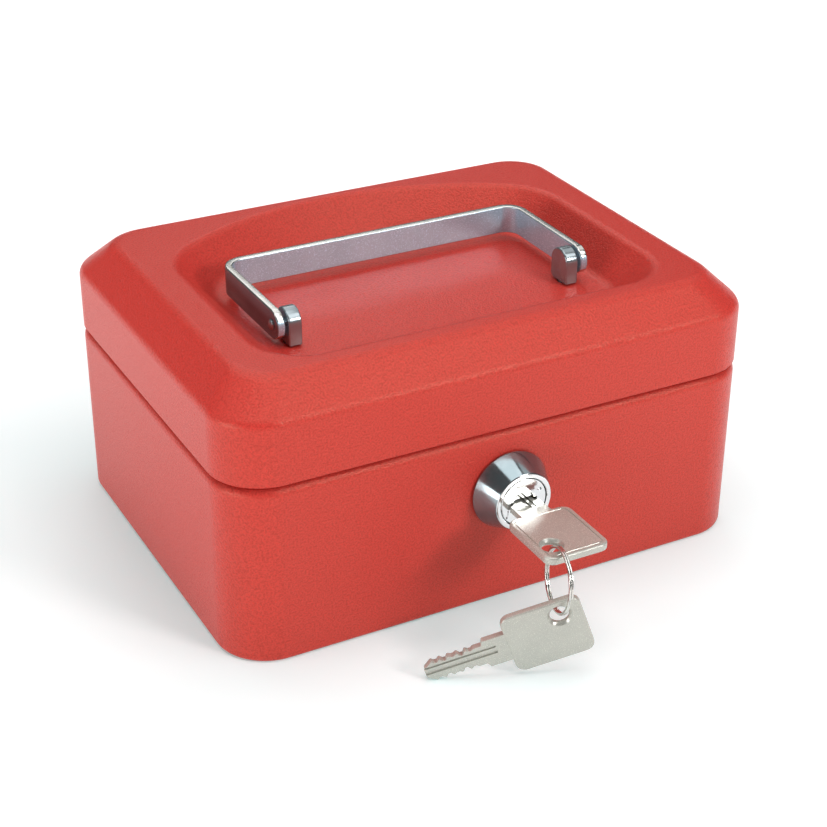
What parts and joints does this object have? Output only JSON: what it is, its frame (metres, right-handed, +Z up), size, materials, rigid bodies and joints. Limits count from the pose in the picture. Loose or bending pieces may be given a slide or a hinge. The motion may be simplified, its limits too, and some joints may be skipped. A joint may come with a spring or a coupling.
{
  "type": "locking steel cash box",
  "caption": "Small locking steel box with a rear-hinged lid, folding bail handle in a dished top, keyed cam lock and lift-out coin tray",
  "frame": {"origin": "middle of the underside's footprint, on the surface the box stands on", "axes": "+Z up; the lock is on the -Y side and the hinges on the +Y side; +X is to the right seen from the lock side"},
  "size_m": [0.152, 0.1621, 0.0761],
  "materials": {
    "red_powder_coat": "red powder coat with a fine orange-peel texture, satin",
    "satin_steel": "satin plated steel",
    "zinc_steel": "zinc plated steel",
    "chrome": "bright chrome plate",
    "nickel": "nickel plated, softly polished",
    "brass": "stamped, plain",
    "tray_plastic": "black moulded polystyrene, matt"
  },
  "bodies": {
    "case": {"box_shell": "red_powder_coat", "coin_tray": "tray_plastic", "lock_housing": "chrome", "lock_nut": "zinc_steel", "hinge_leaf_body_left": "red_powder_coat", "hinge_leaf_body_right": "red_powder_coat", "hinge_pin_left": "zinc_steel", "hinge_pin_right": "zinc_steel"},
    "lid": {"lid_shell": "red_powder_coat", "lid_catch": "zinc_steel", "hinge_leaf_lid_left": "red_powder_coat", "hinge_leaf_lid_right": "red_powder_coat", "handle_bracket_left": "chrome", "handle_bracket_right": "chrome", "bracket_washer_left": "zinc_steel", "bracket_washer_right": "zinc_steel", "pivot_pin_left": "chrome", "pivot_pin_right": "chrome"},
    "handle": {"handle_bail": "satin_steel"},
    "plug": {"lock_plug": "chrome", "lock_cam": "zinc_steel", "cam_screw": "zinc_steel", "lock_wafer_1": "brass", "lock_wafer_2": "brass", "lock_wafer_3": "brass", "lock_wafer_4": "brass", "lock_wafer_5": "brass", "wafer_spring_1": "satin_steel", "wafer_spring_2": "satin_steel", "wafer_spring_3": "satin_steel", "wafer_spring_4": "satin_steel", "wafer_spring_5": "satin_steel"},
    "key": {"key_in_lock": "nickel"},
    "ring": {"key_ring": "nickel"},
    "spare": {"spare_key": "nickel"}
  },
  "joints": [
    {"name": "lid_hinge", "type": "hinge", "parent": "case", "child": "lid", "pos_m": [0, 0.0602, 0.0502], "axis": [-1, 0, 0], "range_deg": [0, 105]},
    {"name": "handle_swing", "type": "hinge", "parent": "lid", "child": "handle", "pos_m": [-0.00085, -0.0176, 0.0721], "axis": [1, 0, 0], "range_deg": [0, 160]},
    {"name": "plug_turn", "type": "hinge", "parent": "case", "child": "plug", "pos_m": [0, -0.058, 0.0327], "axis": [0, 1, 0], "range_deg": [0, 90]},
    {"name": "key_slide", "type": "slide", "parent": "plug", "child": "key", "axis": [0, -1, 0], "range_m": [0, 0.024]},
    {"name": "ring_swing", "type": "hinge", "parent": "key", "child": "ring", "pos_m": [-0.00392, -0.08619, 0.03201], "axis": [-0.9762, 0.202, 0.079], "range_deg": [0, 55]},
    {"name": "spare_swing", "type": "hinge", "parent": "ring", "child": "spare", "pos_m": [-0.00662, -0.09395, 0.01846], "axis": [0.1666, 0.9315, -0.3234], "range_deg": [0, 45]}
  ]
}
